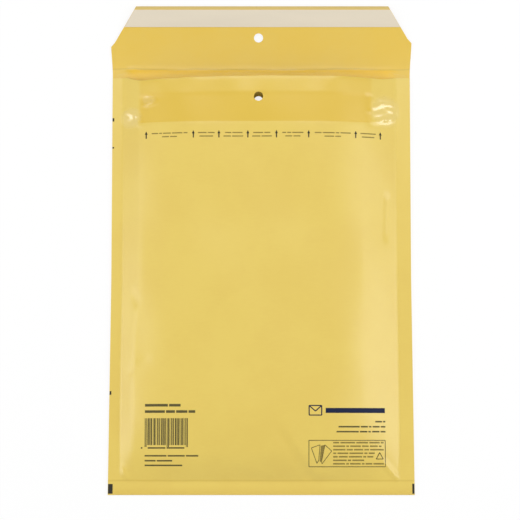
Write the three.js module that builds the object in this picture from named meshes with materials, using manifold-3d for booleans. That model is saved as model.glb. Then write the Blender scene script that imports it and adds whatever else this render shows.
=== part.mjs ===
// A padded postal envelope, lying on its back with the flap open: one folded sheet of kraft
// paper, one folded pouch of bubble film sealed into it, and a glue band under a peel-off strip.
// Millimetres, +Z up. X runs across the envelope and +Y from its folded bottom to its flap.
// The origin is on the table, under the middle of the outline.
import * as THREE from "three";
import { ConvexGeometry } from "three/addons/geometries/ConvexGeometry.js";
import { mergeVertices } from "three/addons/utils/BufferGeometryUtils.js";
import Module from "manifold-3d";

// Kraft sheet
const outerWidth = 200;
const frontLength = 275; // from the bottom fold to the front panel's free edge
const creaseSetback = 6; // from that edge to the flap's crease
const flapLength = 42;
const paperThickness = 0.15;

// Flap outline
const flapEndWidth = 169;
const shoulderWidth = 194.5;
const shoulderSetback = 20; // from the crease to the shoulder, where the long slant begins
const shoulderChamfer = 3;
const flapLift = 3; // how far the free end of the flap springs up from the table

// Seams and borders
const sideSeal = 10;
const bondWidth = 2; // outermost strip of the seal, where paper is bonded straight to paper
const bondMargin = 0.4; // unbonded rim of a sheet outside its seam
const bottomBorder = 10;

// The padded part
const pouchLift = 12; // how far the front panel rises above its seams
const sideSlope = 18;
const bottomSlope = 28;
const mouthGape = 5; // how much higher the middle of the open mouth arches
const gapeRun = 105; // length over which the front panel rises to that arch
const waist = 1.4; // how far the full pouch pulls each side edge in
const waistRun = 140; // length over which the sides draw in from the bottom
const waistEnd = 12; // length over which they spread again beyond the mouth

// Bubble film
const filmThickness = 0.1;
const linerSetback = 2; // from the front panel's edge to the front layer of film
const bubbleDiameter = 15;
const crownDiameter = 9.5;
const bubbleHeight = 3.5;
const bubblePitch = 19;
const bubbleRoot = 0.08; // from the film's inner face out to a bubble's rim
const bubbleMargin = 1; // from the rim of the outermost bubbles to the slopes and the film's ends
const backMargin = 4; // from the back panel's bubbles to its seams, where the two panels meet

// Closing strip
const stripWidth = 11.5;
const stripSetback = 2; // bare paper between the strip and the flap's end
const stripThickness = 0.12;
const glueWidth = 9;
const glueThickness = 0.15;

// Clasp holes
const holeDiameter = 6;
const holeSetback = 21; // from the crease, the same on both sides of it
const holeOffset = -1.8;

// Clearances
const layerGap = 0.2; // between two sheets that lie on each other
const filmGap = 0.1; // between the two layers of film at the bottom fold

const backLength = frontLength + creaseSetback;
const totalLength = backLength + flapLength;
const halfWidth = outerWidth / 2;
const seamHeight = 2 * (paperThickness + layerGap + filmThickness) + filmGap;
const midHeight = seamHeight / 2;
const filmInset = paperThickness + layerGap; // from the outside of the paper to the film
const filmHalfWidth = halfWidth - bondWidth - layerGap;
const filmFrontLength = frontLength - linerSetback;
const padHalfWidth = halfWidth - sideSeal - sideSlope;
const padBottom = bottomBorder + bottomSlope;

const wasm = await Module();
wasm.setup();

function toSolid(geometry) {
  const bare = geometry.clone();
  bare.deleteAttribute("normal");
  bare.deleteAttribute("uv");
  const merged = mergeVertices(bare, 1e-4);
  return new wasm.Manifold(
    new wasm.Mesh({
      numProp: 3,
      vertProperties: new Float32Array(merged.attributes.position.array),
      triVerts: new Uint32Array(merged.index.array),
    }),
  );
}

function toGeometry(solid) {
  const mesh = solid.getMesh();
  const geometry = new THREE.BufferGeometry();
  geometry.setAttribute("position", new THREE.BufferAttribute(mesh.vertProperties, 3));
  geometry.setIndex(new THREE.BufferAttribute(mesh.triVerts, 1));
  const faceted = geometry.toNonIndexed();
  faceted.computeVertexNormals();
  return faceted;
}

// 0 before the crease, 1 beyond the run, and a quarter sine between: creased below, round above.
function swell(distance, run) {
  return Math.sin((THREE.MathUtils.clamp(distance / run, 0, 1) * Math.PI) / 2);
}

// How far the front panel and its film stand above their height at a seam.
function frontLift(x, y) {
  const seal = halfWidth - sideSeal;
  const padded = swell(seal - Math.abs(x), sideSlope) * swell(y - bottomBorder, bottomSlope);
  const arch = Math.max(0, 1 - (x / seal) ** 2);
  const gape = THREE.MathUtils.smoothstep(y, frontLength - gapeRun, frontLength);
  return pouchLift * padded + mouthGape * arch * gape;
}

// How far the back panel's sheet stands up: only the flap does, beyond its crease.
function backLift(y) {
  return flapLift * Math.pow(Math.max(0, (y - backLength) / flapLength), 1.4);
}

// The share of the full width that the envelope keeps at a length y.
function widthShare(y) {
  const drawnIn = THREE.MathUtils.clamp(y / waistRun, 0, 1);
  const spread = THREE.MathUtils.smoothstep(y, frontLength, frontLength + waistEnd);
  return 1 - (waist * drawnIn * (1 - spread)) / halfWidth;
}

// Which points of a flat shape belong to the front panel. A folded sheet has both panels.
const inFrontOfFold = (y, z) => z > midHeight && y <= frontLength;
const allInFront = () => true;
const noneInFront = () => false;

// Takes a flat shape to its real form, where y is a length from the bottom fold.
function formed(geometry, isInFront = inFrontOfFold) {
  const position = geometry.attributes.position;
  for (let i = 0; i < position.count; i++) {
    const x = position.getX(i);
    const y = position.getY(i);
    const z = position.getZ(i);
    const lift = isInFront(y, z) ? frontLift(x, y) : backLift(y);
    position.setXYZ(i, x * widthShare(y), y - totalLength / 2, z + lift);
  }
  return toSolid(geometry);
}

function steps(from, to, count) {
  return Array.from({ length: count + 1 }, (_, i) => from + ((to - from) * i) / count);
}

// Lengths from the bottom fold at which each panel's form bends.
const frontBends = [
  ...steps(bottomBorder, padBottom, 5),
  waistRun,
  ...steps(frontLength - gapeRun, frontLength, 8),
];
const backBends = [
  waistRun,
  frontLength,
  frontLength + waistEnd / 2,
  frontLength + waistEnd,
  ...steps(backLength, totalLength, 4),
];

// The bends between two lengths, with both ends.
function stationsAlong(bends, from, to) {
  const inside = bends.filter((y) => y > from + 0.5 && y < to - 0.5);
  return [...new Set([from, ...inside, to])].sort((a, b) => a - b);
}

// The places across the envelope where its form bends, for a sheet of a given half width.
function stationsAcross(half) {
  const seal = halfWidth - sideSeal;
  const right = [half, ...steps(seal, padHalfWidth, 5)];
  const middle = steps(-padHalfWidth, padHalfWidth, 8).slice(1, -1);
  return [...right.map((x) => -x), ...middle, ...right.reverse()];
}

// One face of a folded sheet seen from its edge, at a radius round the middle of the fold:
// from the front panel's free end down, round the bottom and along the back panel.
function foldedPath(radius, frontEnd, backEnd) {
  const foldY = midHeight;
  const front = stationsAlong(frontBends, foldY, frontEnd).reverse();
  const back = stationsAlong(backBends, foldY, backEnd);
  const turns = steps(0, Math.PI, 4).slice(1, -1);
  return [
    ...front.map((y) => [y, midHeight + radius]),
    ...turns.map((a) => [foldY - radius * Math.sin(a), midHeight + radius * Math.cos(a)]),
    ...back.map((y) => [y, midHeight - radius]),
  ];
}

// The vertices round the edge of a grid, anticlockwise as its face is seen.
function rimOf(columns, rows) {
  const row = columns + 1;
  const low = steps(0, columns - 1, columns - 1).map((i) => rows * row + i);
  const right = steps(rows, 1, rows - 1).map((j) => j * row + columns);
  const high = steps(columns, 1, columns - 1);
  const left = steps(0, rows - 1, rows - 1).map((j) => j * row);
  return [...low, ...right, ...high, ...left];
}

// A closed sheet folded at the bottom. Both faces have the same grid and the same diagonals, so
// the sheet keeps its thickness, and its distance from the next sheet, where it is curved.
function foldedSheet(half, thickness, inset, frontEnd, backEnd) {
  const across = stationsAcross(half);
  const outer = foldedPath(midHeight - inset, frontEnd, backEnd);
  const inner = foldedPath(midHeight - inset - thickness, frontEnd, backEnd);
  const columns = across.length - 1;
  const rows = outer.length - 1;
  const face = new THREE.PlaneGeometry(1, 1, columns, rows);
  const outerFace = Array.from(face.index.array);
  const count = face.attributes.position.count;
  const innerFace = outerFace.map((vertex) => vertex + count).reverse();
  const rim = rimOf(columns, rows);
  const edges = rim.flatMap((from, i) => {
    const to = rim[(i + 1) % rim.length];
    return [from, from + count, to + count, from, to + count, to];
  });
  const points = [...outer, ...inner].flatMap(([y, z]) => across.flatMap((x) => [x, y, z]));
  const sheet = new THREE.BufferGeometry();
  sheet.setAttribute("position", new THREE.Float32BufferAttribute(points, 3));
  sheet.setIndex([...outerFace, ...innerFace, ...edges]);
  return formed(sheet);
}

// A flat band between two places across, two along and two heights, bent as the sheets are.
function band(leftX, rightX, bottomY, topY, lowZ, highZ) {
  const along = stationsAlong(backBends, bottomY, topY);
  const spans = along.length - 1;
  const strip = new THREE.BoxGeometry(rightX - leftX, spans, highZ - lowZ, 1, spans, 1);
  strip.translate((leftX + rightX) / 2, spans / 2, (lowZ + highZ) / 2);
  const position = strip.attributes.position;
  for (let i = 0; i < position.count; i++) {
    position.setY(i, along[Math.round(position.getY(i))]);
  }
  return formed(strip);
}

// The two side seams of a folded sheet, from the middle of one layer to the middle of the other,
// a little inside the sheet's side edge and the front layer's free end.
function sideSeams(innerX, sheetHalf, frontEnd, layerHeight) {
  const outerX = sheetHalf - bondMargin;
  const topY = frontEnd - bondMargin;
  const low = layerHeight;
  const high = seamHeight - layerHeight;
  return [
    band(innerX, outerX, midHeight, topY, low, high),
    band(-outerX, -innerX, midHeight, topY, low, high),
  ];
}

function punch(y) {
  const tool = new THREE.CylinderGeometry(holeDiameter / 2, holeDiameter / 2, 4 * pouchLift, 20);
  tool.rotateX(Math.PI / 2);
  tool.translate(holeOffset, y - totalLength / 2, 0);
  return toSolid(tool);
}

// What is kept of the sheet and its strip: full width below the flap's shoulders, slanted above.
function cutOutline() {
  const outline = new THREE.Shape();
  const shoulderY = backLength + shoulderSetback - totalLength / 2;
  const right = [
    [halfWidth + 1, -totalLength / 2 - 1],
    [halfWidth + 1, shoulderY - shoulderChamfer - 1],
    [halfWidth, shoulderY - shoulderChamfer],
    [shoulderWidth / 2, shoulderY],
    [flapEndWidth / 2, totalLength / 2],
    [flapEndWidth / 2, totalLength / 2 + 1],
  ];
  const left = right.map(([x, y]) => [-x, y]).reverse();
  outline.setFromPoints([...right, ...left].map(([x, y]) => new THREE.Vector2(x, y)));
  const cutter = new THREE.ExtrudeGeometry(outline, { depth: 4 * pouchLift, bevelEnabled: false });
  cutter.translate(0, 0, -pouchLift);
  return toSolid(cutter);
}

const outlineCutter = cutOutline();
const pouchPunch = punch(backLength - holeSetback);
const flapPunch = punch(backLength + holeSetback);

function paperEnvelope() {
  const sheet = foldedSheet(halfWidth, paperThickness, 0, frontLength, totalLength);
  const seams = sideSeams(halfWidth - bondWidth, halfWidth, frontLength, paperThickness / 2);
  const bonded = wasm.Manifold.union([sheet, ...seams]);
  return bonded.intersect(outlineCutter).subtract(pouchPunch).subtract(flapPunch);
}

// Centres of a honeycomb of bubbles, in rows from the film's end down, that keep a margin to a
// line across the panel and to the two lines along its sides.
function honeycomb(sideX, bottomY, margin) {
  const radius = bubbleDiameter / 2;
  const topY = filmFrontLength - bubbleMargin - radius;
  const rowPitch = (bubblePitch * Math.sqrt(3)) / 2;
  const rows = Math.floor((topY - bottomY - margin - radius) / rowPitch) + 1;
  const centres = [];
  for (let row = 0; row < rows; row++) {
    const y = topY - row * rowPitch;
    const shift = row % 2 ? bubblePitch / 2 : 0;
    const most = Math.floor((sideX - margin - radius - shift) / bubblePitch);
    const first = row % 2 ? -most - 1 : -most;
    for (let i = first; i <= most; i++) {
      centres.push([i * bubblePitch + shift, y]);
    }
  }
  return centres;
}

// Corners spread evenly round the Z axis, the first one turned by an angle.
function ring(diameter, corners, turn, z) {
  return Array.from({ length: corners }, (_, i) => {
    const angle = turn + (i * 2 * Math.PI) / corners;
    return new THREE.Vector3((diameter / 2) * Math.cos(angle), (diameter / 2) * Math.sin(angle), z);
  });
}

// One bubble on the inner face of the film, towards one side: a six-sided rim, rooted deep enough
// to stay joined where the film curves, that closes to a three-cornered crown.
function bubble([x, y], innerFaceZ, side, isInFront) {
  const rim = ring(bubbleDiameter, 6, 0, -side * bubbleRoot);
  const crown = ring(crownDiameter, 3, Math.PI / 6, side * bubbleHeight);
  const dome = new ConvexGeometry([...rim, ...crown]);
  dome.translate(x, y, innerFaceZ);
  return formed(dome, isInFront);
}

function bubbleLiner() {
  const film = foldedSheet(filmHalfWidth, filmThickness, filmInset, filmFrontLength, backLength);
  const filmMiddle = filmInset + filmThickness / 2;
  const innerFace = filmInset + filmThickness;
  const seams = sideSeams(halfWidth - sideSeal, filmHalfWidth, filmFrontLength, filmMiddle);
  const backField = honeycomb(halfWidth - sideSeal, bottomBorder, backMargin);
  const frontField = honeycomb(padHalfWidth, padBottom, bubbleMargin);
  const bubbles = [
    ...backField.map((centre) => bubble(centre, innerFace, 1, noneInFront)),
    ...frontField.map((centre) => bubble(centre, seamHeight - innerFace, -1, allInFront)),
  ];
  return wasm.Manifold.union([film, ...seams, ...bubbles]).subtract(pouchPunch);
}

// A band across the flap, cut off with the flap's slants.
function flapBand(topSetback, width, low, thickness) {
  const topY = totalLength - topSetback;
  const strip = band(-halfWidth, halfWidth, topY - width, topY, low, low + thickness);
  return strip.intersect(outlineCutter);
}

const glueHeight = paperThickness + layerGap;
const stripHeight = glueHeight + glueThickness + layerGap;
const glueSetback = stripSetback + (stripWidth - glueWidth) / 2;

function piece(name, solid, color, roughness, opacity = 1) {
  const material = new THREE.MeshStandardMaterial({
    color,
    roughness,
    metalness: 0,
    opacity,
    transparent: opacity < 1,
  });
  const mesh = new THREE.Mesh(toGeometry(solid), material);
  mesh.name = name;
  return mesh;
}

const envelope = new THREE.Group();
envelope.add(piece("paper_envelope", paperEnvelope(), 0xe3bf5f, 0.55));
envelope.add(piece("bubble_liner", bubbleLiner(), 0xe9e6da, 0.25, 0.5));
envelope.add(
  piece("adhesive_strip", flapBand(glueSetback, glueWidth, glueHeight, glueThickness), 0xe8d9a8, 0.3),
);
envelope.add(
  piece("release_liner", flapBand(stripSetback, stripWidth, stripHeight, stripThickness), 0xe2d8c4, 0.4),
);

export default envelope;
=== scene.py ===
"""A padded postal envelope of golden kraft paper, lying on its back with the flap open."""

import math
from types import SimpleNamespace

import bmesh
import bpy
import numpy as np
from bpy.props import FloatProperty, FloatVectorProperty, PointerProperty
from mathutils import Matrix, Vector
from mathutils.bvhtree import BVHTree


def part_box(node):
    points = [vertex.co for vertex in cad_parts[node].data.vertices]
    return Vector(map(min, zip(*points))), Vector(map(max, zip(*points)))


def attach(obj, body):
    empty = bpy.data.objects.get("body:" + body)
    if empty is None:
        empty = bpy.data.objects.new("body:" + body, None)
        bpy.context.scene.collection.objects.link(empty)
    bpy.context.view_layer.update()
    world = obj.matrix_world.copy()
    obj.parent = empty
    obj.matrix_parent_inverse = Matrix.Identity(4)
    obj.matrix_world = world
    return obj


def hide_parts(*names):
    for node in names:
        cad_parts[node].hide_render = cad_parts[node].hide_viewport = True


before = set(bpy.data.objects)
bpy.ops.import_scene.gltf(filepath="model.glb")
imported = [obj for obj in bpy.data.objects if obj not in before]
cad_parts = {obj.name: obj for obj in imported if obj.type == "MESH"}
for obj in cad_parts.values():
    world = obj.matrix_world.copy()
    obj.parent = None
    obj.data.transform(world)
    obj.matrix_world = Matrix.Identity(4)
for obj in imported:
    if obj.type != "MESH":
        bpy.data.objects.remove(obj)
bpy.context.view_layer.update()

bl_info = {
    "name": "Padded envelope",
    "version": (1, 0, 0),
    "blender": (4, 5, 0),
    "location": "View3D > Sidebar > Envelope",
    "description": "Builds a padded envelope with its bubble film, closing strip and print",
    "category": "Add Mesh",
}

MM = 0.001
paper_low, paper_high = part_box("paper_envelope")
_, film_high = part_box("bubble_liner")
strip_low, strip_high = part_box("release_liner")
glue_low, glue_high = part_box("adhesive_strip")


def size(name, default_mm, description):
    settings = {"unit": "LENGTH", "subtype": "DISTANCE", "precision": 5}
    return FloatProperty(name=name, description=description, default=default_mm * MM, **settings)


def colour(name, default, description):
    settings = {"size": 3, "subtype": "COLOR", "min": 0.0, "max": 1.0}
    return FloatVectorProperty(name=name, description=description, default=default, **settings)


class EnvelopeSizes(bpy.types.PropertyGroup):
    """Sizes of the folded sheet, its padding and its closing strip."""

    width: size("Width", (paper_high.x - paper_low.x) / MM, "Outer width of the paper")
    total_length: size(
        "Total length", (paper_high.y - paper_low.y) / MM, "From the bottom fold to the flap's end"
    )
    front_length: size("Front length", 275, "From the bottom fold to the front's free edge")
    crease_setback: size("Crease setback", 6, "From the front's free edge to the flap's crease")
    paper_thickness: size("Paper thickness", 0.15, "Thickness of the kraft paper")
    seam_height: size("Seam height", 1.0, "Height of the two panels together at a seam")
    flap_end_width: size("Flap end width", 169, "Width of the flap's free end")
    shoulder_width: size("Shoulder width", 194.5, "Width where the flap's long slants begin")
    shoulder_setback: size("Shoulder setback", 20, "From the flap's crease to its shoulders")
    shoulder_chamfer: size("Shoulder chamfer", 3, "Length of the short slant under each shoulder")
    shoulder_skew: size("Shoulder skew", 2, "How much lower the left shoulder is than the right")
    flap_skew: size("Flap skew", 1.3, "How much narrower the flap's end is cut on its left side")
    strip_shift: size("Strip shift", 0.3, "How far the closing strip lies below its place in CAD")
    flap_lift: size("Flap lift", 3, "How far the flap's free end springs up")
    left_seal: size("Left seal", 7.5, "Width of the flat left seam")
    right_seal: size("Right seal", 10, "Width of the flat right seam")
    bottom_border: size("Bottom border", 9.4, "Length of the flat border at the bottom fold")
    pouch_lift: size("Pouch lift", 12, "How far the padded front rises above its seams")
    left_slope: size("Left slope", 11.5, "Width of the padding's slope at the left seam")
    right_slope: size("Right slope", 25, "Width of the padding's slope at the right seam")
    bottom_slope: size("Bottom slope", 20, "Length of the padding's slope at the bottom border")
    pillow_run: size("Pillow run", 50, "Distance from a seam over which the padding rises gently")
    mouth_gape: size("Mouth gape", 5, "How much higher the middle of the open mouth arches")
    gape_run: size("Gape run", 105, "Length over which the front panel rises to that arch")
    waist: size("Waist", 1.4, "How far the full pouch pulls each side edge in")
    waist_run: size("Waist run", 140, "Length over which the sides draw in")
    waist_end: size("Waist end", 28, "Length over which they spread beyond the mouth")
    hole_diameter: size("Hole diameter", 6, "Diameter of the two clasp holes")
    hole_setback: size("Hole setback", 21, "From the flap's crease to each clasp hole")
    hole_offset: size("Hole offset", -1.8, "From the middle line to the clasp holes")
    film_thickness: size("Film thickness", 0.1, "Thickness of the film between its bubbles")
    film_inset: size("Film inset", 0.35, "From the outside of the paper to the film")
    film_setback: size("Film setback", 2, "From the front panel's edge to the front layer of film")
    bubble_diameter: size("Bubble diameter", 15, "Diameter of a bubble's rim")
    bubble_height: size("Bubble height", 3.5, "Height of a bubble above the film")
    bubble_pitch: size("Bubble pitch", 19, "Distance between the middles of two bubbles")
    mark_thickness: size("Ink thickness", 0.07, "How far the printed marks stand above the paper")


class EnvelopeColours(bpy.types.PropertyGroup):
    """Colours of the paper, film, strip, print and floor, and of the shade and light painted on
    the paper.
    """

    kraft: colour("Kraft", (0.83, 0.62, 0.12), "Golden outside of the paper")
    # Also painted shade near the bottom fold, where the border rolls round it.
    kraft_deep_and_fold_shade: colour("Kraft, deep", (0.785, 0.56, 0.10), "Darker fibres and cloudy patches")
    # A darker band across the front panel below the mouth.
    darker_band: colour("Kraft, bonded", (0.768, 0.51, 0.04), "Paper that is glued down to the film")
    flap: colour("Flap", (0.80, 0.535, 0.055), "Inside of the paper, seen on the flap")
    # Painted warm light in the shade of the mouth, brighter and redder than the flap.
    mouth_warm_light: colour("Mouth", (0.91, 0.56, 0.0), "Inside of the paper between crease and film")
    # Painted shade along the flap's crease and the bottom border's fold.
    crease: colour("Crease", (0.60, 0.40, 0.04), "Broken fibres along a crease")
    # Painted shade on the margin at the flap's end, beyond the closing strip.
    edge: colour("Flap edge", (0.63, 0.475, 0.175), "Browned margin beyond the closing strip")
    film: colour("Film", (0.90, 0.88, 0.82), "Clear bubble film")
    glue: colour("Glue", (0.78, 0.68, 0.42), "Hot-melt adhesive")
    release: colour("Release strip", (0.745, 0.66, 0.515), "Silicone-coated peel-off strip")
    ink: colour("Ink", (0.028, 0.026, 0.018), "Dark print")
    grey_ink: colour("Grey ink", (0.10, 0.085, 0.03), "Print that reads as grey")
    faint_ink: colour("Faint ink", (0.27, 0.205, 0.05), "Finest print")
    navy_ink: colour("Navy ink", (0.004, 0.009, 0.04), "Blue-black print")
    floor: colour("Floor", (0.9, 0.9, 0.9), "Studio floor")


def sizes_mm():
    """The sizes as plain numbers in millimetres, with those that follow from them."""
    group = bpy.context.scene.envelope_sizes
    values = {name: getattr(group, name) / MM for name in EnvelopeSizes.__annotations__}
    s = SimpleNamespace(**values)
    s.half = s.width / 2
    s.back_length = s.front_length + s.crease_setback
    s.mid = s.seam_height / 2
    s.left_crease = s.left_seal - s.half
    s.right_crease = s.half - s.right_seal
    return s


def swell(distance, run):
    """0 before a crease, 1 beyond the run, and a quarter sine between."""
    return np.sin(np.clip(distance / run, 0, 1) * math.pi / 2)


def facet(distance, run):
    """0 before a crease, 1 beyond the run, and a straight slope with a rounded end between."""
    share = np.clip(distance / run, 0, 1 + KNEE)
    return np.where(share < 1 - KNEE, share, 1 - (1 + KNEE - share) ** 2 / (4 * KNEE))


def rise(s, distance, slope, form=swell):
    """Share of the padding's height at a distance from a seam: a slope, then a pillow."""
    pillow = swell(distance, s.pillow_run)
    return (1 - PILLOW_SHARE) * form(distance, slope) + PILLOW_SHARE * pillow


def smooth(low, high, value):
    """0 below low, 1 above high and smooth between."""
    share = np.clip((value - low) / (high - low), 0, 1)
    return share * share * (3 - 2 * share)


def bell(distance, reach):
    """1 at a line, falling off evenly on both sides of it."""
    return np.exp(-((distance / reach) ** 2))


def wave(distance, parts):
    """A sum of sine waves, each given as height, length over 2 pi and phase."""
    return sum(height * np.sin(distance / length + phase) for height, length, phase in parts)


def bent_wave(distance, other, length, bend, bend_length):
    """A sine wave whose crests are bent by a wave that runs the other way."""
    return np.sin(distance / length + bend * np.sin(other / bend_length))


# Lengths are in mm. A place on the sheet is measured across from its middle line and along from
# its bottom fold.

# Folds and dents of the front panel. Each is a line from a place on the sheet to another, with
# its height (a dent where negative) and its width.
FRONT_FOLDS = [
    (12, 40, 30, 12, -0.65, 3.2),
    (18, 40, 36, 14, 0.55, 3.2),
    (-14, 20, 6, 13, 0.3, 3.5),
    (40, 12, 56, 18, 0.35, 4.0),
    (-93, 18, -86, 9, 0.8, 2.0),
    (80, 21, 89, 10, 0.9, 2.0),
    (84, 195, 83, 168, -0.7, 1.6),
    (-86, 80, -76, 88, -0.4, 2.5),
    (-84, 131, -83, 125, -0.5, 2.0),
    (72, 262, 73, 244, -0.5, 2.0),
    (-80, 246, -79, 262, -0.4, 2.5),
    (-76.5, 257.6, -71.5, 259.2, 0.8, 1.2),
    (80.5, 261, 87, 259.3, 0.5, 1.1),
    (76, 255, 81.5, 257.6, 0.5, 1.2),
    (81.5, 257.6, 88.5, 256.8, 0.5, 1.2),
    (77, 250, 84, 251.5, 0.3, 1.2),
    (84, 254, 90, 252, 0.45, 1.1),
    (75.5, 244.6, 83, 246.6, 0.6, 1.3),
    (83, 246.6, 89, 247.6, 0.8, 1.7),
    (73.6, 260, 72.3, 252, 0.35, 1.2),
    (72.3, 252, 73.5, 244, 0.35, 1.2),
    (-90, 251.8, -84.3, 250, 0.45, 1.4),
    (-84.3, 250, -81.7, 243, 0.4, 1.4),
    (-88, 244.6, -85.7, 247.5, -0.4, 1.6),
]
FOLD_FADE = 2.5  # from a seam, over which the folds and dents begin
# Middle and reach, across and along, of the places where drawn paper shines.
SHINY_SPOTS = ((82, 252, 8, 9), (-74, 258.5, 4, 2.5), (-86, 247.5, 6, 6))
KNEE = 0.2  # of a straight slope's run, over which its end is rounded
PILLOW_SHARE = 0.68  # of the padding's height, reached only at the end of the pillow run
LEFT_NARROWING = 0.7  # of the left slope's width, kept in the lower half
LEFT_WIDENING = (90, 150)  # lengths between which the left slope gains its whole width
# Where paper and film are glued to each other: left, right, low and high edge, how far each
# fades outward, and how deep the band is drawn down.
GLUE_BAND = (-81, 71, 244, 262)
GLUE_BAND_FADES = (2, 2, 1, 3)
GLUE_BAND_DEPTH = 0.1
MOUTH_RIPPLE = ((0.3, 7, 0), (0.18, 3.7, 1))
MOUTH_RIPPLE_RUN = 13  # length of the front panel that ripples
MOUTH_LIP = 0.2  # how far the free edge curls down
MOUTH_LIP_RUN = 1.6
MOUTH_RETREAT = (1.35, -0.5, 0.55)  # constant, linear and square parts of the edge's retreat
MOUTH_RETREAT_UNIT = 60  # from the middle line, where those parts count whole
MOUTH_RETREAT_RUN = 45  # length of the front panel that is drawn back with its edge
# Slow waves, each as its length over 2 pi, its bend in radians and the bend's length, and the
# share, across and along, of the slanting ripple on them.
BILLOW_RISE = 0.3
BILLOW_ACROSS = (17, 1.3, 41)
BILLOW_ALONG = (29, 0.8, 23)
BILLOW_RIPPLE = (0.5, 9, 13)
BILLOW_FADE = 14  # from a seam, over which those waves begin
FLAP_SPRING = 1.4  # power of the flap's upward curve
CREASE_HEIGHT = 0.08
CREASE_WIDTH = 1.5
CREASE_WAVER = ((0.5, 9, 0),)
CREASE_CRUMPLE = (0.35, -89.5, 4)  # height, middle and reach of its crumpled left end
CREASE_END = 8  # from the paper's side edge to where the crease's ridge ends
CREASE_FADE = 6
RIGHT_SKEW = 0.25  # of the left shoulder's skew, by which the right one is cut higher
FILM_END = ((0.45, 8, 0), (0.27, 3.9, 2))  # waves of the film's end in the mouth
FILM_END_SETBACK = 0.27
FILM_CORNER_SETBACK = 4.05
FILM_CORNERS = (84, 97)  # from the middle line, over which the film's corners are drawn back
END_RUN = 20  # length of a back layer that is drawn along with its end
STEP_SLACK = 1e-6  # keeps a whole number of steps from being rounded up
PAPER_TURNS = 8  # faces round the bottom fold
FILM_TURNS = 6
SHARP_ANGLE = math.radians(40)


def fold_height(u, v):
    """Small folds and dents of the front panel."""
    height = np.zeros_like(u)
    for u0, v0, u1, v1, lift, width in FRONT_FOLDS:
        du, dv = u1 - u0, v1 - v0
        along = np.clip(((u - u0) * du + (v - v0) * dv) / (du * du + dv * dv), 0, 1)
        distance = np.hypot(u - u0 - along * du, v - v0 - along * dv)
        height += lift * bell(distance, width)
    return height


def billow(u, v):
    """Slow waves of the padded paper, with a slanting ripple on them."""
    waves = bent_wave(u, v, *BILLOW_ACROSS) * bent_wave(v, u, *BILLOW_ALONG)
    share, across, along = BILLOW_RIPPLE
    return BILLOW_RISE * (waves + share * np.sin(u / across + v / along))


def glued(u, v):
    """1 where paper and film are glued to each other, fading outward to 0."""
    left, right, low, high = GLUE_BAND
    left_fade, right_fade, low_fade, high_fade = GLUE_BAND_FADES
    across = smooth(left - left_fade, left, u) * (1 - smooth(right, right + right_fade, u))
    return across * smooth(low - low_fade, low, v) * (1 - smooth(high, high + high_fade, v))


def front_lift(s, u, v):
    """How far the front panel and its film stand above their height at a seam."""
    from_left = u - s.left_crease
    from_right = s.right_crease - u
    from_bottom = v - s.bottom_border
    left_share = LEFT_NARROWING + (1 - LEFT_NARROWING) * smooth(*LEFT_WIDENING, v)
    padded = rise(s, from_left, s.left_slope * left_share, facet)
    padded = padded * rise(s, from_right, s.right_slope)
    padded = padded * rise(s, from_bottom, s.bottom_slope)
    end = s.front_length
    arch = np.clip(1 - (u / s.right_crease) ** 2, 0, 1)
    gape = smooth(end - s.gape_run, end, v)
    ripple = wave(u, MOUTH_RIPPLE) * smooth(end - MOUTH_RIPPLE_RUN, end, v)
    ripple = ripple - MOUTH_LIP * smooth(end - MOUTH_LIP_RUN, end, v)
    from_seam = np.minimum(np.minimum(from_left, from_right), from_bottom)
    sharp = fold_height(u, v) * smooth(0, FOLD_FADE, from_seam)
    soft = billow(u, v) + ripple - GLUE_BAND_DEPTH * glued(u, v)
    soft = soft * smooth(0, BILLOW_FADE, from_seam)
    return s.pouch_lift * padded + s.mouth_gape * arch * gape + sharp + soft


def back_lift(s, u, v):
    """How far the back panel stands up: the ridge of its crease, and the flap's spring."""
    beyond = np.clip((v - s.back_length) / (s.total_length - s.back_length), 0, 1)
    height, middle, reach = CREASE_CRUMPLE
    from_crease = v - s.back_length + wave(u, CREASE_WAVER)
    ridge = (CREASE_HEIGHT + height * bell(u - middle, reach)) * bell(from_crease, CREASE_WIDTH)
    ends = np.clip((s.half - CREASE_END - np.abs(u)) / CREASE_FADE, 0, 1)
    return s.flap_lift * beyond**FLAP_SPRING + ridge * ends


def mouth_retreat(s, u, v):
    """How far the bulge of the front panel pulls its free edge back."""
    constant, linear, square = MOUTH_RETREAT
    share = u / MOUTH_RETREAT_UNIT
    from_seal = s.right_crease - np.abs(u)
    reach = (constant + linear * share + square * share**2) * swell(from_seal, s.left_slope)
    return reach * smooth(s.front_length - MOUTH_RETREAT_RUN, s.front_length, v)


def width_share(s, u, v):
    """The share of the full width that the envelope keeps at a place."""
    drawn_in = np.clip(v / s.waist_run, 0, 1)
    spread = smooth(s.front_length, s.front_length + s.waist_end, v)
    share = 1 - s.waist * drawn_in * (1 - spread) / s.half
    on_left = u < 0
    skew = s.shoulder_skew * np.where(on_left, -1, RIGHT_SKEW)
    shoulder = s.back_length + s.shoulder_setback + skew
    chamfer_start = shoulder - s.shoulder_chamfer
    chamfer = np.clip((v - chamfer_start) / s.shoulder_chamfer, 0, 1)
    slant = np.clip((v - shoulder) / (s.total_length - shoulder), 0, 1)
    end_cut = s.shoulder_width - s.flap_end_width + 2 * s.flap_skew * on_left
    narrowed = (s.width - s.shoulder_width) * chamfer + end_cut * slant
    return share * (1 - narrowed / s.width)


def spread_steps(stops):
    """Places up to the last stop. A stop is a place and the step that leads to it."""
    places = [stops[0][0]]
    for stop, step in stops[1:]:
        count = max(1, math.ceil(abs(stop - places[-1]) / step - STEP_SLACK))
        places.extend(np.linspace(places[-1], stop, count + 1)[1:])
    return np.array(places)


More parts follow.
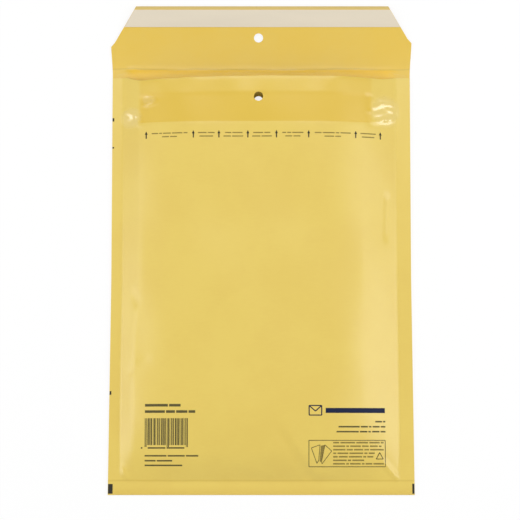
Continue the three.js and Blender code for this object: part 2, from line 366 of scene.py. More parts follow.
def folded_rows(s, radius, front_plan, back_plan, turns):
    """Length, flat height and side of each row of one face of a folded sheet."""
    front = spread_steps(front_plan)[::-1]
    back = spread_steps(back_plan)
    angles = np.linspace(0, math.pi, turns + 1)[1:-1]
    lengths = np.concatenate([front, s.mid - radius * np.sin(angles), back])
    turned = np.concatenate([np.ones(len(front)), np.cos(angles), -np.ones(len(back))])
    return lengths, s.mid + radius * turned, np.arange(len(lengths)) < len(front)


def place(s, u, v, z, in_front):
    """Takes places on the flat sheet to their real form, in metres."""
    lift = np.where(in_front, front_lift(s, u, v), back_lift(s, u, v))
    x = u * width_share(s, u, v)
    y = v - np.where(in_front, mouth_retreat(s, u, v), 0) - s.total_length / 2
    return np.stack([x, y, z + lift], axis=-1) * MM


def slab_faces(rows, row, start=0):
    """Faces of a closed slab between an upper grid of points and the lower one after it."""
    count = rows * row
    corner = np.arange(count).reshape(rows, row) + start
    a, b, c, d = corner[:-1, :-1], corner[:-1, 1:], corner[1:, 1:], corner[1:, :-1]
    upper = np.stack([a, b, c, d], axis=-1).reshape(-1, 4)
    lower = np.stack([a, d, c, b], axis=-1).reshape(-1, 4) + count
    rim = np.concatenate([corner[0, :-1], corner[:-1, -1], corner[-1, :0:-1], corner[:0:-1, 0]])
    after = np.roll(rim, -1)
    edges = np.stack([rim, rim + count, after + count, after], axis=-1)
    return np.concatenate([upper, lower, edges])


def film_end(u):
    """How far the film's end in the mouth strays from a straight line."""
    corners = FILM_CORNER_SETBACK * smooth(*FILM_CORNERS, np.abs(u))
    return wave(u, FILM_END) - FILM_END_SETBACK - corners


def new_mesh(name, points, faces):
    mesh = bpy.data.meshes.new(name)
    mesh.from_pydata(points, [], faces)
    return mesh


def new_object(name, data):
    made = bpy.data.objects.new(name, data)
    bpy.context.scene.collection.objects.link(made)
    return made


def sheet_mesh(s, name, columns, outer, inner, end=np.zeros_like):
    """A closed sheet between an outer and an inner face, given as rows."""
    points = []
    for lengths, heights, is_front in (outer, inner):
        u, v = np.meshgrid(columns, lengths)
        z = np.broadcast_to(heights[:, None], u.shape)
        in_front = np.broadcast_to(is_front[:, None], u.shape)
        near_end = smooth(lengths.max() - END_RUN, lengths.max(), v) * (1 - in_front)
        points.extend(place(s, u, v + near_end * end(u), z, in_front).reshape(-1, 3).tolist())
    turned_over = slab_faces(len(outer[0]), len(columns))[:, [0, 3, 2, 1]]
    return new_mesh(name, points, turned_over.tolist())


def add_piece(name, mesh, material):
    """Makes a mesh a piece of the envelope, smooth except at its sharp edges."""
    mesh.materials.append(material)
    mesh.shade_smooth()
    mesh.set_sharp_from_angle(angle=SHARP_ANGLE)
    piece = new_object(name, mesh)
    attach(piece, "root")
    return piece


HOLE_CORNERS = 48
PUNCH_LENGTH = 80


def clasp_punches(s):
    """Two upright rods where the clasp holes go."""
    builder = bmesh.new()
    radius = s.hole_diameter / 2 * MM
    for side in (-1, 1):
        y = s.back_length + side * s.hole_setback - s.total_length / 2
        made = bmesh.ops.create_cone(
            builder,
            cap_ends=True,
            segments=HOLE_CORNERS,
            radius1=radius,
            radius2=radius,
            depth=PUNCH_LENGTH * MM,
        )
        shift = Vector((s.hole_offset * MM, y * MM, 0))
        bmesh.ops.translate(builder, verts=made["verts"], vec=shift)
    mesh = bpy.data.meshes.new("clasp_punches")
    builder.to_mesh(mesh)
    builder.free()
    return mesh


def punched(s, mesh):
    """The mesh with the clasp holes cut through it."""
    blank = new_object("blank", mesh)
    tool = new_object("clasp_punches", clasp_punches(s))
    cut = blank.modifiers.new("holes", "BOOLEAN")
    cut.operation = "DIFFERENCE"
    cut.solver = "EXACT"
    cut.object = tool
    graph = bpy.context.evaluated_depsgraph_get()
    result = bpy.data.meshes.new_from_object(blank.evaluated_get(graph))
    for item in (blank, tool):
        bpy.data.objects.remove(item)
    return result


def both_ways(operation):
    """An operator's method and its reflected form, which add a Math node."""
    return (
        lambda self, other: self._math(operation, self, other),
        lambda self, other: self._math(operation, other, self),
    )


class Signal:
    """One socket of a material. Arithmetic on it adds Math nodes."""

    def __init__(self, shader, socket):
        self.shader = shader
        self.socket = socket

    def _math(self, operation, *values):
        return self.shader.add("ShaderNodeMath", {"operation": operation}, dict(enumerate(values)))

    __add__, __radd__ = both_ways("ADD")
    __sub__, __rsub__ = both_ways("SUBTRACT")
    __mul__, __rmul__ = both_ways("MULTIPLY")
    __pow__, __rpow__ = both_ways("POWER")

    def __abs__(self):
        return self._math("ABSOLUTE", self)

    def or_larger(self, other):
        return self._math("MAXIMUM", self, other)


class Shader:
    """The node tree of a material or a world."""

    def __init__(self, owner):
        owner.use_nodes = True
        self.owner = owner
        self.tree = owner.node_tree
        self.tree.nodes.clear()

    def add(self, kind, settings=None, sockets=None, output=0):
        """Adds a node with its settings, then the values or links of its sockets."""
        node = self.tree.nodes.new(kind)
        for name, value in (settings or {}).items():
            setattr(node, name, value)
        for key, value in (sockets or {}).items():
            if isinstance(value, Signal):
                self.tree.links.new(value.socket, node.inputs[key])
            else:
                node.inputs[key].default_value = value
        return Signal(self, node.outputs[output]) if node.outputs else None

    def place(self):
        """The place of the shaded point on the envelope, in metres."""
        return self.add("ShaderNodeTexCoord", output="Object")

    def axis(self, name):
        return self.add("ShaderNodeSeparateXYZ", None, {0: self.place()}, output=name)

    def stretched(self, scale):
        settings = {"operation": "MULTIPLY"}
        return self.add("ShaderNodeVectorMath", settings, {0: self.place(), 1: scale})

    def noise(self, scale, detail, roughness=0.5, stretch=(1, 1, 1)):
        sockets = {"Scale": scale, "Detail": detail, "Roughness": roughness}
        sockets["Vector"] = self.stretched(stretch)
        return self.add("ShaderNodeTexNoise", None, sockets)

    def ramp(self, value, low, high):
        """0 below low, 1 above high and smooth between."""
        sockets = {"Value": value, "From Min": low, "From Max": high}
        return self.add("ShaderNodeMapRange", {"interpolation_type": "SMOOTHSTEP"}, sockets)

    def mix(self, share, first, second):
        """A colour between two colours."""
        sockets = {0: share, 6: opaque(first), 7: opaque(second)}
        return self.add("ShaderNodeMix", {"data_type": "RGBA"}, sockets, output=2)

    def bump(self, height, distance, strength):
        sockets = {"Height": height, "Distance": distance, "Strength": strength}
        return self.add("ShaderNodeBump", None, sockets)

    def surface(self, sockets):
        """Ends a material's tree with a Principled surface."""
        made = self.add("ShaderNodeBsdfPrincipled", None, sockets)
        self.add("ShaderNodeOutputMaterial", None, {"Surface": made})
        return self.owner


def material_shader(name):
    return Shader(bpy.data.materials.new(name))


def opaque(value):
    return value if isinstance(value, Signal) else (*value, 1.0)


def tone(value, factor):
    return tuple(factor * channel for channel in value)


# Distances over which the paper's colours fade in or out. The first three are along the sheet
# from the flap's crease.
UNDER_FRONT_START = (-12, -11)
FLAP_START = (-5.5, -4.5)
MOUTH_END = (-0.8, 0.4)
MARGIN_START = (-2.4, -1.2)  # from the flap's end
FOLD_SHADE = (1, 7)  # from the bottom fold
UNDER_FRONT_TOP = (0.6, 0.8)  # up from the table, under the padded front
MOUTH_SIDES = (82, 94)  # from the middle line
FLAP_LINE = (0.2, 0.8)  # from the crease's line, on both sides
BOTTOM_LINE = (0.2, 0.9)  # from the bottom border's line, on both sides
LINE_DRIFT = 4  # how far the noise in the crease's line reaches
BOTTOM_DRIFT = 0.2  # of that drift, what the bottom border's line has
SPOT_FADE = (0.4, 1.9)  # squares of a shiny spot's reach, over which it fades


def kraft_material(s, colours):
    """Machine-glazed kraft paper: cloudy golden fibres with a satin face, painted shade along its
    creases, bottom fold and flap's end, and painted warm light in the mouth.
    """
    shader = material_shader("kraft_paper")
    x, y, z = (shader.axis(name) for name in "XYZ")
    crease = s.back_length

    def fade(value, low, high):
        return shader.ramp(value, low * MM, high * MM)

    def along(length):
        return length - s.total_length / 2

    def beyond(origin, limits):
        """0 below the first limit from a length on the sheet, 1 above the second."""
        return fade(y, along(origin + limits[0]), along(origin + limits[1]))

    clouds = shader.noise(28, 3, 0.6)
    fibres = shader.noise(900, 3, 0.6, (0.25, 1.0, 1.0))
    flecks = shader.ramp(shader.noise(1400, 2, 0.5, (0.3, 1.0, 1.0)), 0.66, 0.78)
    deep = shader.ramp(clouds * 0.75 + fibres * 0.25, 0.38, 0.66)
    body = shader.mix(deep * 0.45, colours.kraft, colours.kraft_deep_and_fold_shade)
    body = shader.mix(flecks * 0.35, body, colours.kraft_deep_and_fold_shade)

    # A darker band across the front panel over the glued zone.
    left, right, low, high = GLUE_BAND
    band = fade(x, left - 1, left + 2.5) * (1 - fade(x, right, right + 3))
    band = band * beyond(low, (-0.6, 0)) * (1 - 0.35 * beyond(high, (0, 3)))
    body = shader.mix(band * 0.85, body, colours.darker_band)

    under_front = (1 - fade(z, *UNDER_FRONT_TOP)) * beyond(crease, UNDER_FRONT_START)
    on_flap = under_front.or_larger(beyond(crease, FLAP_START))
    flap = shader.mix(deep * 0.3, colours.flap, colours.kraft_deep_and_fold_shade)
    body = shader.mix(on_flap, body, flap)
    # Painted warm light in the shade of the mouth, between the front's edge and the crease.
    mouth_light_share = on_flap * (1 - beyond(crease, MOUTH_END)) * (1 - fade(abs(x), *MOUTH_SIDES))
    body = shader.mix(mouth_light_share, body, colours.mouth_warm_light)

    # Painted shade along the flap's crease and the bottom border's fold.
    drift = (shader.noise(28, 2, 0.5, (1.0, 0.0, 0.0)) - 0.5) * LINE_DRIFT * MM
    flap_crease_shade = 1 - fade(abs(y - along(crease) * MM - drift), *FLAP_LINE)
    from_border = y - along(s.bottom_border) * MM - drift * BOTTOM_DRIFT
    bottom_crease_shade = 1 - fade(abs(from_border), *BOTTOM_LINE)
    lines = flap_crease_shade * 0.4 + bottom_crease_shade * 0.35
    body = shader.mix(lines, body, colours.crease)
    # Painted shade where the bottom border rolls round the fold.
    body = shader.mix((1 - beyond(0, FOLD_SHADE)) * 0.9, body, colours.kraft_deep_and_fold_shade)
    # Painted shade on the margin at the flap's end, beyond the closing strip.
    margin = beyond(s.total_length, MARGIN_START)
    body = shader.mix(margin * 0.8, body, colours.edge)

    spots = []
    for middle_u, middle_v, reach_u, reach_v in SHINY_SPOTS:
        u = (x - middle_u * MM) * (1 / (reach_u * MM))
        v = (y - along(middle_v) * MM) * (1 / (reach_v * MM))
        spots.append(1 - shader.ramp(u * u + v * v, *SPOT_FADE))
    taut = sum(spots)
    relief = fibres * 0.6 + shader.noise(2200, 2, 0.5) * 0.4
    return shader.surface({
        "Base Color": body,
        "Roughness": 0.26 + 0.08 * fibres - 0.06 * taut,
        "Specular IOR Level": 0.6,
        "Coat Weight": taut,
        "Coat Roughness": 0.14,
        "Coat IOR": 1.7,
        "Normal": shader.bump(relief, 0.00003, 0.18),
    })


def film_material(colours):
    """Clear soft film, cloudier where it is seen at a slant."""
    shader = material_shader("bubble_film")
    haze = shader.noise(60, 3)
    glance = shader.add("ShaderNodeLayerWeight", None, {"Blend": 0.5}, output="Facing")
    return shader.surface({
        "Base Color": shader.mix(haze, colours.film, tone(colours.film, 0.9)),
        "Metallic": 0.6,
        "Roughness": 0.12 + 0.15 * haze,
        "Alpha": 0.01 + 0.2 * glance**2.2,
        "Normal": shader.bump(shader.noise(220, 3), 0.0002, 0.4),
    })


def glue_material(colours):
    """Hot-melt glue, laid in fine stripes."""
    shader = material_shader("hot_melt_glue")
    stripes = shader.noise(300, 2, 0.5, (0.1, 1.0, 1.0))
    return shader.surface({
        "Base Color": shader.mix(stripes * 0.5, colours.glue, tone(colours.glue, 0.8)),
        "Roughness": 0.2 + 0.2 * stripes,
        "Normal": shader.bump(stripes, 0.0001, 0.5),
    })


def release_material(colours):
    """Silicone-coated paper with faint streaks."""
    shader = material_shader("release_paper")
    streaks = shader.ramp(shader.noise(60, 3, 0.6, (0.12, 1.0, 1.0)), 0.35, 0.68)
    fibres = shader.noise(1200, 3, 0.6)
    pale, paler = (tone(colours.release, factor) for factor in (1.005, 1.055))
    return shader.surface({
        "Base Color": shader.mix(streaks, pale, paler),
        "Roughness": 0.33 + 0.12 * fibres,
        "Coat Weight": 0.15,
        "Normal": shader.bump(fibres, 0.00004, 0.5),
    })


def ink_material(name, shade):
    """Flat ink that lets a little of the fibre through."""
    shader = material_shader(name)
    fibres = shader.noise(1400, 3, 0.6, (0.3, 1.0, 1.0))
    worn = shader.ramp(fibres, 0.45, 0.75) * 0.5
    return shader.surface({
        "Base Color": shader.mix(worn, shade, tone(shade, 1.8)),
        "Roughness": 0.5 + 0.15 * fibres,
        "Specular IOR Level": 0.2,
        "Normal": shader.bump(fibres, 0.00003, 0.5),
    })


# Lengths up to which a sheet's rows may lie far apart.
FRONT_PLAIN_END = 240
PAPER_BACK_PLAIN_END = 250
FILM_BACK_PLAIN_END = 260


def across_stops(s, edge):
    """Places across a sheet and the steps between them, finest on the slopes."""
    return [
        (-edge, 1),
        (s.left_crease, 1.5),
        (s.left_crease + s.left_slope, 0.9),
        (s.right_crease - s.right_slope, 2.2),
        (s.right_crease, 1.1),
        (edge, 1.5),
    ]


def front_stops(s, end):
    """Lengths along a front layer and the steps between, finest at the fold and the mouth."""
    return [
        (s.mid, 1),
        (s.bottom_border, 2.5),
        (s.bottom_border + s.bottom_slope + 6, 1.2),
        (FRONT_PLAIN_END, 2.4),
        (end, 1.1),
    ]


class ENVELOPE_OT_paper(bpy.types.Operator):
    """Folds the kraft sheet: front panel, bottom fold, back panel and flap in one piece"""

    bl_idname = "envelope.paper"
    bl_label = "Kraft Paper"

    def execute(self, context):
        s = sizes_mm()
        columns = spread_steps(across_stops(s, s.half))
        front = front_stops(s, s.front_length)
        shoulder = s.back_length + s.shoulder_setback
        back_stops = [
            (s.mid, 1),
            (PAPER_BACK_PLAIN_END, 8),
            (s.front_length, 2),
            (s.back_length + 4, 0.8),
            (shoulder - s.shoulder_chamfer - s.shoulder_skew, 2),
            (shoulder + 1, 0.5),
            (s.total_length, 2),
        ]
        outer = folded_rows(s, s.mid, front, back_stops, PAPER_TURNS)
        inner = folded_rows(s, s.mid - s.paper_thickness, front, back_stops, PAPER_TURNS)
        mesh = punched(s, sheet_mesh(s, "kraft_sheet", columns, outer, inner))
        piece = add_piece("kraft_sheet", mesh, kraft_material(s, context.scene.envelope_colours))
        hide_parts("paper_envelope")
        return {"FINISHED"}


BUBBLE_CORNERS = 20
# Rings of a bubble as shares of its radius and of its height, from its rim in the film up.
BUBBLE_RINGS = ((1.0, -0.03), (0.97, 0.35), (0.86, 0.75), (0.62, 0.96))
FIRST_ROW_GAP = 1  # between the film's end and the first row of bubbles
BACK_FIELD_INSET = 14  # from the paper's side edges to the back layer's bubbles
BACK_FIELD_START = 4  # from the bottom border to its first bubbles
FRONT_FIELD_HALF = 71  # from the middle line, clear of the front's slopes
FRONT_FIELD_START = 1  # from the bottom slope
HOLE_CLEARANCE = 0.5
FILM_BACK_BEYOND = 0.3  # past the crease, without the end's waves


def honeycomb(s, half_width, bottom):
    """Middles of a honeycomb of bubbles, in rows from the film's end down."""
    radius = s.bubble_diameter / 2
    top = s.front_length - s.film_setback - FIRST_ROW_GAP - radius
    pitch = s.bubble_pitch
    row_pitch = pitch * math.sqrt(3) / 2
    reach = math.ceil(s.half / pitch)
    middles = []
    for row in range(int((top - bottom - radius) // row_pitch) + 1):
        shift = pitch / 2 if row % 2 else 0
        for index in range(-reach, reach + 1):
            u = index * pitch + shift
            if abs(u) + radius <= half_width:
                middles.append((u, top - row * row_pitch))
    return middles


def bubble_points(s, middle, flat_z, side):
    """Rings of one bubble, then its rounded crown and the middle of its rim."""
    angles = np.linspace(0, 2 * math.pi, BUBBLE_CORNERS, endpoint=False)
    radius = s.bubble_diameter / 2
    widths, heights = np.array(BUBBLE_RINGS).T
    u = middle[0] + radius * np.append(np.outer(widths, np.cos(angles)), [0, 0])
    v = middle[1] + radius * np.append(np.outer(widths, np.sin(angles)), [0, 0])
    share = np.append(np.repeat(heights, BUBBLE_CORNERS), [1, heights[0]])
    return place(s, u, v, flat_z + side * share * s.bubble_height, side < 0)


def bubble_faces(start, side):
    """Faces of a bubble whose points begin at a number."""
    top = start + BUBBLE_CORNERS * (len(BUBBLE_RINGS) - 1)
    crown = top + BUBBLE_CORNERS
    faces = []
    for i in range(BUBBLE_CORNERS):
        after = (i + 1) % BUBBLE_CORNERS
        for low in range(start, top, BUBBLE_CORNERS):
            high = low + BUBBLE_CORNERS
            faces.append((low + i, low + after, high + after, high + i))
        faces.append((top + i, top + after, crown))
        faces.append((start + after, start + i, crown + 1))
    return faces if side > 0 else [face[::-1] for face in faces]


class ENVELOPE_OT_film(bpy.types.Operator):
    """Folds the bubble film that lines both panels, with its honeycomb of bubbles"""

    bl_idname = "envelope.film"
    bl_label = "Bubble Film"

    def execute(self, context):
        s = sizes_mm()
        columns = spread_steps(across_stops(s, film_high.x / MM))
        front = front_stops(s, s.front_length - s.film_setback)
        back_end = s.back_length + FILM_BACK_BEYOND
        back_stops = [(s.mid, 1), (FILM_BACK_PLAIN_END, 8), (back_end, 1.2)]
        radius = s.mid - s.film_inset
        outer = folded_rows(s, radius, front, back_stops, FILM_TURNS)
        inner = folded_rows(s, radius - s.film_thickness, front, back_stops, FILM_TURNS)
        mesh = punched(s, sheet_mesh(s, "bubble_film", columns, outer, inner, film_end))
        points = [tuple(vertex.co) for vertex in mesh.vertices]
        faces = [tuple(face.vertices) for face in mesh.polygons]
        inner_face = s.film_inset + s.film_thickness
        hole = (s.hole_offset, s.back_length - s.hole_setback)
        clear = s.bubble_diameter / 2 + s.hole_diameter / 2 + HOLE_CLEARANCE
        back_start = s.bottom_border + BACK_FIELD_START
        front_start = s.bottom_border + s.bottom_slope + FRONT_FIELD_START
        for half_width, start, flat_z, side in (
            (s.half - BACK_FIELD_INSET, back_start, inner_face, 1),
            (FRONT_FIELD_HALF, front_start, s.seam_height - inner_face, -1),
        ):
            for middle in honeycomb(s, half_width, start):
                if math.dist(middle, hole) < clear:
                    continue
                faces.extend(bubble_faces(len(points), side))
                points.extend(map(tuple, bubble_points(s, middle, flat_z, side)))
        whole = new_mesh("bubble_film", points, faces)
        piece = add_piece("bubble_film", whole, film_material(context.scene.envelope_colours))
        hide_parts("bubble_liner")
        return {"FINISHED"}


# Under and upper side of each band above the table, where the paper under it is flat.
GLUE_HEIGHTS = (0.16, 0.3)
STRIP_HEIGHTS = (0.32, 0.44)
BAND_WIDTH_SHARE = 0.998  # of the paper's width


def flap_band(s, name, low, high, heights):
    """A closed strip across the flap, cut off with the flap's slants."""
    rest = s.total_length / 2 - s.strip_shift
    lengths = spread_steps([(low.y / MM + rest, 1), (high.y / MM + rest, 1.2)])
    edge = s.half * BAND_WIDTH_SHARE
    columns = spread_steps([(-edge, 1), (edge, 2.5)])
    on_back = np.zeros(len(lengths), dtype=bool)
    under, upper = ((lengths, np.full(len(lengths), z), on_back) for z in heights)
    return sheet_mesh(s, name, columns, under, upper)


class ENVELOPE_OT_closing_strip(bpy.types.Operator):
    """Lays the glue band and its peel-off strip on the flap"""

    bl_idname = "envelope.closing_strip"
    bl_label = "Closing Strip"

    def execute(self, context):
        s = sizes_mm()
        colours = context.scene.envelope_colours
        glue = flap_band(s, "glue_band", glue_low, glue_high, GLUE_HEIGHTS)
        glue_piece = add_piece("glue_band", glue, glue_material(colours))
        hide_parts("adhesive_strip")
        strip = flap_band(s, "release_strip", strip_low, strip_high, STRIP_HEIGHTS)
        strip_piece = add_piece("release_strip", strip, release_material(colours))
        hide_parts("release_liner")
        return {"FINISHED"}


PROBE_HEIGHT = 100  # above the table, from where the paper under a mark is sought
PRINT_STEP = 1.5
PRINT_SINK = 0.06  # how far a mark's under side lies in the paper
FIELD_ROWS = 9


class Print:
    """Flat marks that follow the paper, gathered into one closed mesh."""

    def __init__(self, s):
        self.s = s
        sheet = bpy.data.objects["kraft_sheet"].data
        points = [vertex.co for vertex in sheet.vertices]
        faces = [tuple(face.vertices) for face in sheet.polygons]
        self.tree = BVHTree.FromPolygons(points, faces)
        self.points = []
        self.faces = []

    def on_paper(self, u, v, above):
        """A place on the upper side of the paper, at a height above it."""
        x = u * float(width_share(self.s, u, v)) * MM
        y = (v - self.s.total_length / 2) * MM
        hit = self.tree.ray_cast(Vector((x, y, PROBE_HEIGHT * MM)), Vector((0, 0, -1)))[0]
        if hit is None:
            raise RuntimeError(f"a printed mark at {u:.1f}, {v:.1f} mm is off the paper")
        return (x, y, hit.z + above * MM)

    def grid(self, corner_rows):
        """A closed slab over rows of places."""
        start = len(self.points)
        corners = [corner for row in corner_rows for corner in row]
        for above in (self.s.mark_thickness, -PRINT_SINK):
            self.points.extend(self.on_paper(u, v, above) for u, v in corners)
        self.faces.extend(slab_faces(len(corner_rows), len(corner_rows[0]), start).tolist())

    def bar(self, left, right, low, high):
        """A rectangle."""
        across = spread_steps([(left, 1), (right, PRINT_STEP)])
        along = spread_steps([(low, 1), (high, PRINT_STEP)])
        self.grid([[(u, v) for u in across] for v in along])

    def stroke(self, start, end, width):
        """A straight line of even width."""
        (u0, v0), (u1, v1) = start, end
        length = math.dist(start, end)
        du, dv = (v0 - v1) / length * width / 2, (u1 - u0) / length * width / 2
        steps = np.linspace(0, 1, max(2, math.ceil(length / PRINT_STEP) + 1))
        middle = [(u0 + t * (u1 - u0), v0 + t * (v1 - v0)) for t in steps]
        self.grid([[(u + sign * du, v + sign * dv) for u, v in middle] for sign in (-1, 1)])

    def quad(self, corners):
        """A four-cornered field."""
        first, second, third, fourth = (Vector(corner) for corner in corners)
        rows = []
        for t in np.linspace(0, 1, FIELD_ROWS):
            start, end = first.lerp(fourth, t), second.lerp(third, t)
            rows.append([tuple(start.lerp(end, share)) for share in (0, 0.5, 1)])
        self.grid(rows)

    def outline(self, corners, width):
        for first, second in zip(corners, corners[1:] + corners[:1]):
            self.stroke(first, second, width)

    def piece(self, kind, shade):
        name = f"{kind}_print"
        material = ink_material(f"{kind}_ink", shade)
        made = add_piece(name, new_mesh(name, self.points, self.faces), material)


ARROW_PLACES = (-76.7, -45.1, -28.1, -8.9, 10.1, 31.5, 62.9, 79.6)
ARROW_TIP = 237.6
ARROW_LENGTH = 4.6
ARROW_HEAD = (1.9, 1.9)  # width and length
ARROW_STEM = 0.75
ARROW_POINT = 0.24  # width of the arrow's blunt point
# Each printed line: its left and right ends, its height on the sheet and its words' shares.
OPENING_NOTES = (
    (-73, -49, 236.2, (5, 2, 6, 8, 3)),
    (-66, -56, 233.9, (4, 4)),
    (-42, -31, 236.2, (5, 4)),
    (-41, -32, 233.9, (8,)),
    (-24, -12.5, 236.2, (3, 5)),
    (-25, -12, 233.9, (4, 6)),
    (-5.3, 6, 236.2, (5, 3)),
    (-6, 7, 233.9, (4, 5)),
    (14, 28, 236.2, (2, 2, 6)),
    (16, 26, 233.9, (4, 4)),
    (35.5, 59.5, 236.2, (4, 7, 2, 6)),
    (42, 53, 233.9, (5, 3)),
    (66, 76.5, 236.2, (7,)),
    (67, 75.5, 233.9, (5,)),
)
BIG_LINES = ((-76, -52.6, 58.2, (10, 5)), (-76, -43, 54.1, (9, 4, 5, 3)))
SMALL_LINES = (
    (-78.5, -77.5, 30.6, (1,)),
    (-74, -50, 30.6, (7, 7)),
    (-76, -41, 25.5, (9, 7, 5)),
    (-76, -58, 22.3, (5, 7)),
    (-76, -51.5, 19.3, (10,)),
    (74.5, 81.2, 47.6, (3, 1)),
    (50.3, 81.2, 44.3, (9, 3, 1, 3, 2)),
    (49, 81.2, 41.1, (9, 3, 1, 3, 2)),
)
NOTE_HEIGHT = 0.7
BIG_HEIGHT = 1.7
SMALL_HEIGHT = 0.95
WORD_GAP = 0.8
# Left end of the lines in the handling box, the first one's height and the step to the next.
# Then the right end and the words' shares of each line.
BOX_LEFT, BOX_TOP, BOX_PITCH = 46.8, 34.0, 2.28
BOX_LINES = (
    (80, (4, 10, 8, 7, 2)),
    (78.5, (9, 2, 8, 5, 6, 2)),
    (80, (8, 4, 6, 3, 9)),
    (74, (2, 7, 9, 2, 4)),
    (73, (3, 6, 9, 2, 4)),
    (67, (8, 2, 7)),
    (80, (9, 2, 8, 2, 5, 8)),
)
# Corners and line width of the box, of the opened envelope in it and of its triangle.
BOX_OUTLINES = (
    (((31, 18.4), (81, 18.4), (81, 35.5), (31, 35.5)), 0.45),
    (((32.6, 30.6), (38.2, 32.6), (37.4, 22.6), (36.2, 20.6)), 0.4),
    (((41.4, 32.6), (45.8, 28.6), (39.6, 20.4), (39.0, 22.0)), 0.4),
    (((75.0, 23.4), (79.6, 23.4), (77.3, 27.6)), 0.5),
)
BOX_SHADE = ((38.0, 22.0), (39.4, 21.0), (41.6, 32.6), (38.8, 32.0))
LETTER = ((31.2, 51.8), (39.4, 51.8), (39.4, 58), (31.2, 58))
LETTER_FLAP = ((31.2, 58), (35.3, 54.4), (39.4, 58))
LETTER_LINE = 0.7
TITLE_BAR = (42, 81, 53.2, 56.4)  # left, right, low and high
BAR_FIELD = (-76, -47.6, 32.4, 49.8)
BAR_MODULE = 0.3  # width of the narrowest bar
BAR_EXTRA = 1.2  # how much further down the long bars reach
MARK_INSET = 0.15  # from the paper's side edge to the edge marks
# Side, width, low and high of the corner blocks, then of the ticks.
EDGE_MARKS = (
    (-1, 3.0, 0.9, 7.2),
    (1, 1.4, 0.9, 7.4),
    (-1, 1.1, 245.9, 248.1),
    (-1, 1.1, 227.8, 228.8),
    (-1, 1.1, 65.2, 67.6),
)


def text_lines(marks, lines, height):
    """Lines of print as plain bars, one for each word."""
    for left, right, v, words in lines:
        room = right - left - WORD_GAP * (len(words) - 1)
        at = left
        for word in words:
            length = room * word / sum(words)
            marks.bar(at, at + length, v - height / 2, v + height / 2)
            at += length + WORD_GAP


def opening_arrows(marks):
    """Row of arrows that point to the end to open."""
    head_width, head_length = ARROW_HEAD
    neck = ARROW_TIP - head_length
    for u in ARROW_PLACES:
        marks.bar(u - ARROW_STEM / 2, u + ARROW_STEM / 2, ARROW_TIP - ARROW_LENGTH, neck)
        ends = ((head_width / 2, neck), (ARROW_POINT / 2, ARROW_TIP))
        marks.grid([[(u - half, v), (u + half, v)] for half, v in ends])


def bar_pattern(marks):
    """Upright bars of uneven widths, the outer and middle pairs longer than the rest."""
    left, right, low, high = BAR_FIELD
    bars = []
    at = left
    while at < right - 2 * BAR_MODULE:
        count = len(bars)
        width = BAR_MODULE * (1 + (count * 7 + count // 3) % 3)
        bars.append((at, min(at + width, right)))
        at += width + BAR_MODULE * (1 + (count % 3 == 1))
    middle = len(bars) // 2
    long_bars = (0, 1, middle, middle + 1, len(bars) - 2, len(bars) - 1)
    for index, (start, end) in enumerate(bars):
        marks.bar(start, end, low - BAR_EXTRA * (index in long_bars), high)


def registration_marks(marks, s):
    """Dark corner blocks and edge ticks for cutting and folding."""
    edge = s.half - MARK_INSET
    for side, width, low, high in EDGE_MARKS:
        left, right = sorted((side * edge, side * (edge - width)))
        marks.bar(left, right, low, high)


class ENVELOPE_OT_print(bpy.types.Operator):
    """Prints the arrows, plain bars and registration marks on the front panel"""

    bl_idname = "envelope.print"
    bl_label = "Print"

    def execute(self, context):
        s = sizes_mm()
        colours = context.scene.envelope_colours
        dark = Print(s)
        opening_arrows(dark)
        registration_marks(dark, s)
        dark.piece("dark", colours.ink)
        grey = Print(s)
        bar_pattern(grey)
        text_lines(grey, BIG_LINES, BIG_HEIGHT)
        for corners, width in BOX_OUTLINES:
            grey.outline(corners, width)
        text_lines(grey, SMALL_LINES, SMALL_HEIGHT)
        grey.piece("grey", colours.grey_ink)
        faint = Print(s)
        text_lines(faint, OPENING_NOTES, NOTE_HEIGHT)
        box_lines = [
            (BOX_LEFT, end, BOX_TOP - index * BOX_PITCH, words)
            for index, (end, words) in enumerate(BOX_LINES)
        ]
        text_lines(faint, box_lines, SMALL_HEIGHT)
        faint.quad(BOX_SHADE)
        faint.piece("faint", colours.faint_ink)
        navy = Print(s)
        navy.outline(LETTER, LETTER_LINE)
        for start, end in zip(LETTER_FLAP, LETTER_FLAP[1:]):
            navy.stroke(start, end, LETTER_LINE)
        navy.bar(*TITLE_BAR)
        navy.piece("navy", colours.navy_ink)
        return {"FINISHED"}


# Lengths below are in metres, except the lens and its sensor, which are in mm.
CAMERA_TARGET = Vector((-0.81, -8.2, 6.0)) * MM
CAMERA_DISTANCE = 1.3204
CAMERA_TILT = math.radians(5.29)
CAMERA_LENS = 139.4
SENSOR_WIDTH = 36
# Place, width, height and power of each lamp. All are aimed at the middle of the envelope.
LAMPS = {
    "right_lamp": ((1.0, -0.1, 0.9), 0.5, 1.2, 6.3),
    "left_lamp": ((-1.1, -0.1, 0.72), 0.45, 1.2, 5.3),
    "top_lamp": ((0, 0.6, 1.25), 0.8, 0.5, 3.8),
}
FLOOR_REACH = 3.0
FLOOR_DROP = 0.0003
FLOOR_GLOW = 1.04
FLOOR_GLOW_SHARE = 0.8
SKY_STRENGTH = 0.42
WHITE = (1, 1, 1, 1)


def seen_white(shader):
    """1 for rays that show the background: straight, mirrored or through film."""
    seen = shader.add("ShaderNodeLightPath", output="Is Camera Ray")
    for name in ("Is Glossy Ray", "Is Transmission Ray"):
        seen = seen.or_larger(shader.add("ShaderNodeLightPath", output=name))
    return seen


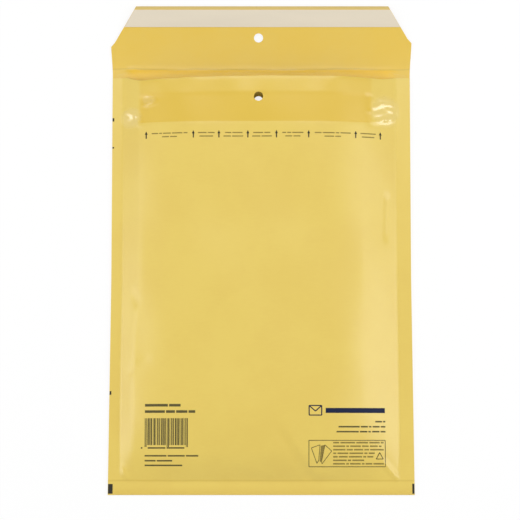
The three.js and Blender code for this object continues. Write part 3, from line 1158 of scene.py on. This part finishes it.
def floor_material(shade):
    """Pale floor that shows white with the object's shadow on it."""
    shader = material_shader("studio_floor")
    diffuse = shader.add("ShaderNodeBsdfDiffuse", None, {"Color": (*shade, 1)})
    glow = shader.add("ShaderNodeEmission", None, {"Color": WHITE, "Strength": FLOOR_GLOW})
    sockets = {0: seen_white(shader) * FLOOR_GLOW_SHARE, 1: diffuse, 2: glow}
    shown = shader.add("ShaderNodeMixShader", None, sockets)
    shader.add("ShaderNodeOutputMaterial", None, {"Surface": shown})
    return shader.owner


def add_lamp(name, location, width, height, power):
    """A soft rectangular lamp aimed at the middle of the envelope."""
    light = bpy.data.lights.new(name, "AREA")
    light.shape = "RECTANGLE"
    light.size = width
    light.size_y = height
    light.energy = power
    lamp = new_object(name, light)
    lamp.location = location
    lamp.rotation_euler = (-Vector(location)).to_track_quat("-Z", "Y").to_euler()


def add_world():
    """White background for what sees it, and a soft even sky for the rest."""
    world = bpy.data.worlds.new("studio")
    bpy.context.scene.world = world
    shader = Shader(world)
    strength = SKY_STRENGTH + (1 - SKY_STRENGTH) * seen_white(shader)
    sky = shader.add("ShaderNodeBackground", None, {"Color": WHITE, "Strength": strength})
    shader.add("ShaderNodeOutputWorld", None, {"Surface": sky})


def add_camera():
    data = bpy.data.cameras.new("camera")
    data.lens = CAMERA_LENS
    data.sensor_width = SENSOR_WIDTH
    camera = new_object("camera", data)
    away = Vector((0, -math.sin(CAMERA_TILT), math.cos(CAMERA_TILT)))
    camera.location = CAMERA_TARGET + CAMERA_DISTANCE * away
    camera.rotation_euler = (CAMERA_TILT, 0, 0)
    bpy.context.scene.camera = camera


class ENVELOPE_OT_stage(bpy.types.Operator):
    """Sets up the pale floor, the soft lamps and the camera"""

    bl_idname = "envelope.stage"
    bl_label = "Studio"

    def execute(self, context):
        corners = [(-1, -1), (1, -1), (1, 1), (-1, 1)]
        points = [(x * FLOOR_REACH, y * FLOOR_REACH, -FLOOR_DROP) for x, y in corners]
        floor = new_object("floor", new_mesh("floor", points, [(0, 1, 2, 3)]))
        floor.data.materials.append(floor_material(context.scene.envelope_colours.floor))
        for name, lamp in LAMPS.items():
            add_lamp(name, *lamp)
        add_world()
        add_camera()
        context.scene.view_settings.view_transform = "Standard"
        return {"FINISHED"}


class ENVELOPE_PT_sidebar(bpy.types.Panel):
    """Lists the operators, sizes and colours of the envelope"""

    bl_label = "Padded Envelope"
    bl_idname = "ENVELOPE_PT_sidebar"
    bl_space_type = "VIEW_3D"
    bl_region_type = "UI"
    bl_category = "Envelope"

    def draw(self, context):
        column = self.layout.column(align=True)
        for operator in OPERATORS:
            column.operator(operator.bl_idname)
        for group in (context.scene.envelope_sizes, context.scene.envelope_colours):
            box = self.layout.box()
            for name in type(group).__annotations__:
                box.prop(group, name)


OPERATORS = (
    ENVELOPE_OT_paper,
    ENVELOPE_OT_film,
    ENVELOPE_OT_closing_strip,
    ENVELOPE_OT_print,
    ENVELOPE_OT_stage,
)
CLASSES = (EnvelopeSizes, EnvelopeColours, *OPERATORS, ENVELOPE_PT_sidebar)


def register():
    for item in CLASSES:
        bpy.utils.register_class(item)
    bpy.types.Scene.envelope_sizes = PointerProperty(type=EnvelopeSizes)
    bpy.types.Scene.envelope_colours = PointerProperty(type=EnvelopeColours)


def unregister():
    del bpy.types.Scene.envelope_colours
    del bpy.types.Scene.envelope_sizes
    for item in reversed(CLASSES):
        bpy.utils.unregister_class(item)


def main():
    register()
    bpy.ops.envelope.paper()
    bpy.ops.envelope.film()
    bpy.ops.envelope.closing_strip()
    bpy.ops.envelope.print()
    bpy.ops.envelope.stage()


if __name__ == "__main__":
    main()
